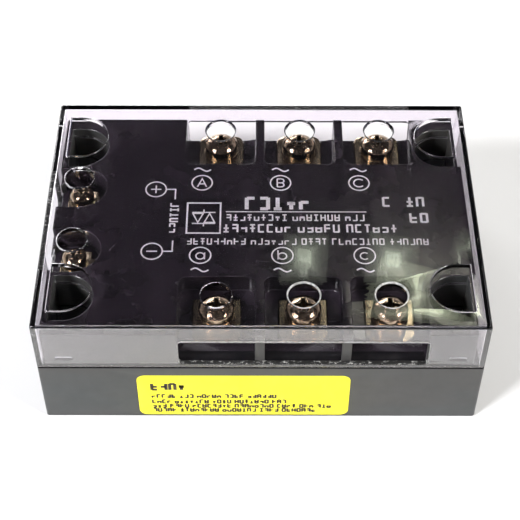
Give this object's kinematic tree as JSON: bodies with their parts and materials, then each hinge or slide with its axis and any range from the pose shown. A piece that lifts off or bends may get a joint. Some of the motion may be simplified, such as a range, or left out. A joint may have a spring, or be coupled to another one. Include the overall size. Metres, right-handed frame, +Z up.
{
  "type": "solid state relay",
  "caption": "Flat panel-mount three-phase solid state relay: black body, clear lift-off cover, screw terminals in pockets along both long sides and two control terminals at one end.",
  "frame": {"origin": "centre of the underside of the base plate, at the middle of the outline", "axes": "+X to the right along the terminal rows (control terminals at -X), +Y towards the line terminals, +Z up out of the mounting face"},
  "size_m": [0.105, 0.074, 0.0355],
  "materials": {
    "plate": "satin",
    "adhesive": "satin",
    "housing": "satin moulded",
    "cover": "clear gloss",
    "label": "printed film",
    "resin": "cast",
    "board": "solder mask",
    "pins": "tinned",
    "package": "moulded",
    "nut": "plated",
    "terminal": "stamped",
    "washer": "nickel plated",
    "screw": "nickel plated",
    "substrate": "fired",
    "copper": "bare copper",
    "silicon": "passivated",
    "coupler": "moulded",
    "capacitor": "dipped",
    "resistor": "coated"
  },
  "bodies": {
    "housing": {"base_plate": "plate", "base_seal": "adhesive", "housing": "housing", "front_label": "label", "potting": "resin", "circuit_board": "board", "gate_pins": "pins", "input_diode": "package", "input_regulator": "package", "snubber_resistors": "resistor", "power_nuts": "nut", "control_nuts": "nut", "mounting_block_1": "housing", "mounting_block_2": "housing", "mounting_block_3": "housing", "mounting_block_4": "housing", "line_terminal_1": "terminal", "line_terminal_2": "terminal", "line_terminal_3": "terminal", "load_terminal_1": "terminal", "load_terminal_2": "terminal", "load_terminal_3": "terminal", "control_terminal_1": "terminal", "control_terminal_2": "terminal", "substrate_1": "substrate", "copper_tracks_1": "copper", "thyristors_1": "silicon", "jumpers_1": "copper", "optocoupler_1": "coupler", "snubber_capacitor_1": "capacitor", "substrate_2": "substrate", "copper_tracks_2": "copper", "thyristors_2": "silicon", "jumpers_2": "copper", "optocoupler_2": "coupler", "snubber_capacitor_2": "capacitor", "substrate_3": "substrate", "copper_tracks_3": "copper", "thyristors_3": "silicon", "jumpers_3": "copper", "optocoupler_3": "coupler", "snubber_capacitor_3": "capacitor"},
    "cover": {"clear_cover": "cover"},
    "line_washers_1": {"line_washers_1": "washer"},
    "line_screw_1": {"line_screw_1": "screw"},
    "line_washers_2": {"line_washers_2": "washer"},
    "line_screw_2": {"line_screw_2": "screw"},
    "line_washers_3": {"line_washers_3": "washer"},
    "line_screw_3": {"line_screw_3": "screw"},
    "load_washers_1": {"load_washers_1": "washer"},
    "load_screw_1": {"load_screw_1": "screw"},
    "load_washers_2": {"load_washers_2": "washer"},
    "load_screw_2": {"load_screw_2": "screw"},
    "load_washers_3": {"load_washers_3": "washer"},
    "load_screw_3": {"load_screw_3": "screw"},
    "control_washers_1": {"control_washers_1": "washer"},
    "control_screw_1": {"control_screw_1": "screw"},
    "control_washers_2": {"control_washers_2": "washer"},
    "control_screw_2": {"control_screw_2": "screw"}
  },
  "joints": [
    {"name": "cover_lift", "type": "slide", "parent": "housing", "child": "cover", "axis": [0, 0, 1], "range_m": [0, 0.03]},
    {"name": "line_climb_1", "type": "slide", "parent": "housing", "child": "line_washers_1", "axis": [0, 0, 1], "range_m": [0, 0.0016]},
    {"name": "line_turn_1", "type": "hinge", "parent": "line_washers_1", "child": "line_screw_1", "pos_m": [-0.0104, 0.0273, 0.028], "axis": [0, 0, 1], "range_deg": [0, 721]},
    {"name": "line_climb_2", "type": "slide", "parent": "housing", "child": "line_washers_2", "axis": [0, 0, 1], "range_m": [0, 0.0016]},
    {"name": "line_turn_2", "type": "hinge", "parent": "line_washers_2", "child": "line_screw_2", "pos_m": [0.0099, 0.0273, 0.028], "axis": [0, 0, 1], "range_deg": [0, 721]},
    {"name": "line_climb_3", "type": "slide", "parent": "housing", "child": "line_washers_3", "axis": [0, 0, 1], "range_m": [0, 0.0016]},
    {"name": "line_turn_3", "type": "hinge", "parent": "line_washers_3", "child": "line_screw_3", "pos_m": [0.0302, 0.0273, 0.028], "axis": [0, 0, 1], "range_deg": [0, 721]},
    {"name": "load_climb_1", "type": "slide", "parent": "housing", "child": "load_washers_1", "axis": [0, 0, 1], "range_m": [0, 0.0016]},
    {"name": "load_turn_1", "type": "hinge", "parent": "load_washers_1", "child": "load_screw_1", "pos_m": [-0.0104, -0.0273, 0.028], "axis": [0, 0, 1], "range_deg": [0, 721]},
    {"name": "load_climb_2", "type": "slide", "parent": "housing", "child": "load_washers_2", "axis": [0, 0, 1], "range_m": [0, 0.0016]},
    {"name": "load_turn_2", "type": "hinge", "parent": "load_washers_2", "child": "load_screw_2", "pos_m": [0.0099, -0.0273, 0.028], "axis": [0, 0, 1], "range_deg": [0, 721]},
    {"name": "load_climb_3", "type": "slide", "parent": "housing", "child": "load_washers_3", "axis": [0, 0, 1], "range_m": [0, 0.0016]},
    {"name": "load_turn_3", "type": "hinge", "parent": "load_washers_3", "child": "load_screw_3", "pos_m": [0.0302, -0.0273, 0.028], "axis": [0, 0, 1], "range_deg": [0, 721]},
    {"name": "control_climb_1", "type": "slide", "parent": "housing", "child": "control_washers_1", "axis": [0, 0, 1], "range_m": [0, 0.0018]},
    {"name": "control_turn_1", "type": "hinge", "parent": "control_washers_1", "child": "control_screw_1", "pos_m": [-0.0452, 0.0103, 0.028], "axis": [0, 0, 1], "range_deg": [0, 1081]},
    {"name": "control_climb_2", "type": "slide", "parent": "housing", "child": "control_washers_2", "axis": [0, 0, 1], "range_m": [0, 0.0018]},
    {"name": "control_turn_2", "type": "hinge", "parent": "control_washers_2", "child": "control_screw_2", "pos_m": [-0.0452, -0.0103, 0.028], "axis": [0, 0, 1], "range_deg": [0, 1081]}
  ],
  "couplings": [
    {"joint": "line_turn_1", "follows": "line_climb_1", "rad_per_m": 7854},
    {"joint": "line_turn_2", "follows": "line_climb_2", "rad_per_m": 7854},
    {"joint": "line_turn_3", "follows": "line_climb_3", "rad_per_m": 7854},
    {"joint": "load_turn_1", "follows": "load_climb_1", "rad_per_m": 7854},
    {"joint": "load_turn_2", "follows": "load_climb_2", "rad_per_m": 7854},
    {"joint": "load_turn_3", "follows": "load_climb_3", "rad_per_m": 7854},
    {"joint": "control_turn_1", "follows": "control_climb_1", "rad_per_m": 10472},
    {"joint": "control_turn_2", "follows": "control_climb_2", "rad_per_m": 10472}
  ]
}
